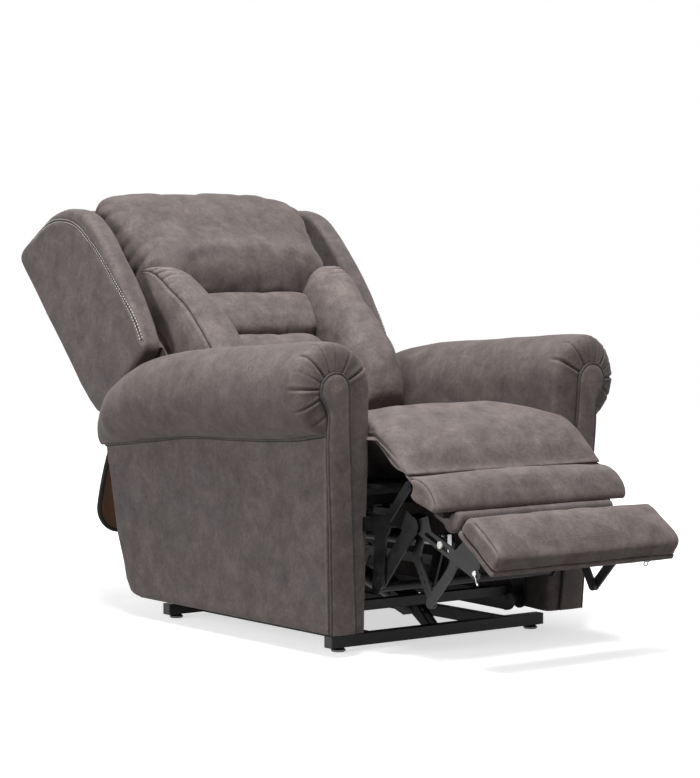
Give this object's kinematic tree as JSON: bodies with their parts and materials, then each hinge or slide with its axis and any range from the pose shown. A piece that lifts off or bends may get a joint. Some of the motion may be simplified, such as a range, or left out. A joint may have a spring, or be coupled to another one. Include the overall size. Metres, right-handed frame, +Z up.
{
  "type": "lift recliner chair",
  "caption": "Winged lift recliner chair with rolled arms, a fold-out footrest on scissor links, an adjustable back and a tilting standing-aid base driven by electric actuators.",
  "frame": {"origin": "on the floor, under the middle of the chair's overall footprint, in the pose of the picture (back fully reclined, footrest out, base lowered)", "axes": "+X to the sitter's left, +Y to the rear of the chair (the chair faces -Y), +Z up"},
  "size_m": [0.9498, 1.8081, 1.0551],
  "materials": {
    "suede": "soft brushed suede look, warm grey-brown, mottled",
    "black_steel": "satin black powder coat",
    "rod_steel": "ground steel",
    "foot_metal": "dark plated steel",
    "cap_plastic": "moulded, matte",
    "motor_plastic": "moulded, fine grain",
    "plywood": "raw plywood",
    "hardboard": "brown hardboard, smooth side out",
    "grey_felt": "dark non-woven lining"
  },
  "bodies": {
    "base": {"base_front_bar": "black_steel", "base_rear_bar": "black_steel", "base_rails": "black_steel", "bar_end_caps": "cap_plastic", "levelling_feet": "foot_metal", "pivot_bracket_left": "black_steel", "pivot_bracket_right": "black_steel", "lift_motor_clevis": "black_steel"},
    "lift_arms": {"lift_arm_left": "black_steel", "lift_arm_right": "black_steel", "lift_cross_tube": "black_steel", "lift_torque_tube": "black_steel"},
    "lift_links": {"lift_link_left": "black_steel", "lift_link_right": "black_steel"},
    "lift_motor": {"lift_motor": "motor_plastic"},
    "lift_rod": {"lift_rod": "rod_steel"},
    "seat": {"side_plate_left": "black_steel", "side_plate_right": "black_steel", "seat_rails": "black_steel", "seat_deck": "grey_felt", "seat_cushion": "suede", "arm_board_left": "plywood", "arm_board_right": "plywood", "arm_side_left": "suede", "arm_side_right": "suede", "arm_roll_left": "suede", "arm_roll_right": "suede", "arm_front_left": "suede", "arm_front_right": "suede", "rear_rail": "plywood", "leg_motor": "motor_plastic", "back_motor": "motor_plastic"},
    "leg_rod": {"leg_motor_rod": "rod_steel"},
    "back_rod": {"back_motor_rod": "rod_steel"},
    "back": {"back_hinge_left": "black_steel", "back_hinge_right": "black_steel", "back_frame": "black_steel", "back_panel": "suede", "back_core": "grey_felt", "wing_left": "suede", "wing_right": "suede", "headrest": "suede", "lumbar_upper": "suede", "lumbar_lower": "suede", "bolster_left": "suede", "bolster_right": "suede"},
    "rear_flap": {"rear_flap": "hardboard"},
    "leg_link": {"leg_link_left": "black_steel", "leg_link_right": "black_steel", "leg_torque_tube": "black_steel"},
    "foot": {"foot_arm_left": "black_steel", "foot_arm_right": "black_steel", "foot_board": "suede", "foot_pad": "suede"},
    "scissor_front": {"scissor_front": "black_steel"},
    "scissor_rear": {"scissor_rear": "black_steel"},
    "calf": {"calf_hinge": "black_steel", "calf_board": "plywood", "calf_pad": "suede", "mid_flap": "suede"}
  },
  "joints": [
    {"name": "lift", "type": "hinge", "parent": "base", "child": "lift_arms", "pos_m": [0, 0.16, 0.076], "axis": [-1, 0, 0], "range_deg": [0, 40]},
    {"name": "link_swing", "type": "hinge", "parent": "base", "child": "lift_links", "pos_m": [0, 0.22, 0.14], "axis": [-1, 0, 0], "range_deg": [0, 33.48]},
    {"name": "seat_tilt", "type": "hinge", "parent": "lift_arms", "child": "seat", "pos_m": [0, -0.35, 0.076], "axis": [1, 0, 0], "range_deg": [0, 62.02]},
    {"name": "lift_motor_swing", "type": "hinge", "parent": "base", "child": "lift_motor", "pos_m": [0, -0.302, 0.062], "axis": [1, 0, 0], "range_deg": [-2.3, 0]},
    {"name": "lift_rod_slide", "type": "slide", "parent": "lift_motor", "child": "lift_rod", "axis": [0, 0.9569, 0.2903], "range_m": [0, 0.07942]},
    {"name": "back_recline", "type": "hinge", "parent": "seat", "child": "back", "pos_m": [0, 0.22, 0.33], "axis": [1, 0, 0], "range_deg": [0, 25]},
    {"name": "flap_swing", "type": "hinge", "parent": "seat", "child": "rear_flap", "pos_m": [0, 0.508, 0.418], "axis": [1, 0, 0], "range_deg": [-18.02, 0]},
    {"name": "back_rod_slide", "type": "slide", "parent": "seat", "child": "back_rod", "axis": [0, 1, 0], "range_m": [0, 0.03032]},
    {"name": "legrest", "type": "hinge", "parent": "seat", "child": "leg_link", "pos_m": [0, -0.492, 0.175], "axis": [1, 0, 0], "range_deg": [-48, 24]},
    {"name": "foot_swing", "type": "hinge", "parent": "leg_link", "child": "foot", "pos_m": [0, -0.605, 0.308], "axis": [1, 0, 0], "range_deg": [-49.94, 99.86]},
    {"name": "calf_swing", "type": "hinge", "parent": "seat", "child": "calf", "pos_m": [0, -0.598, 0.395], "axis": [1, 0, 0], "range_deg": [-25.94, 51.86]},
    {"name": "scissor_front_swing", "type": "hinge", "parent": "foot", "child": "scissor_front", "pos_m": [0, -0.742, 0.2505], "axis": [1, 0, 0], "range_deg": [-2.9, 5.78]},
    {"name": "scissor_rear_swing", "type": "hinge", "parent": "scissor_front", "child": "scissor_rear", "pos_m": [0, -0.645, 0.138], "axis": [1, 0, 0], "range_deg": [-9.62, 4.82]},
    {"name": "leg_rod_slide", "type": "slide", "parent": "seat", "child": "leg_rod", "axis": [0, 1, 0], "range_m": [-0.0293, 0.05858]}
  ],
  "couplings": [
    {"joint": "link_swing", "follows": "lift", "ratio": 0.83642},
    {"joint": "seat_tilt", "follows": "lift", "ratio": 1.55},
    {"joint": "lift_motor_swing", "follows": "lift", "ratio": -0.056927},
    {"joint": "lift_rod_slide", "follows": "lift", "m_per_rad": 0.11373},
    {"joint": "flap_swing", "follows": "back_recline", "ratio": -0.72},
    {"joint": "back_rod_slide", "follows": "back_recline", "m_per_rad": 0.069442},
    {"joint": "foot_swing", "follows": "legrest", "ratio": -2.08},
    {"joint": "calf_swing", "follows": "legrest", "ratio": -1.08},
    {"joint": "scissor_front_swing", "follows": "legrest", "ratio": -0.12},
    {"joint": "scissor_rear_swing", "follows": "legrest", "ratio": 0.2},
    {"joint": "leg_rod_slide", "follows": "legrest", "m_per_rad": -0.0699}
  ]
}
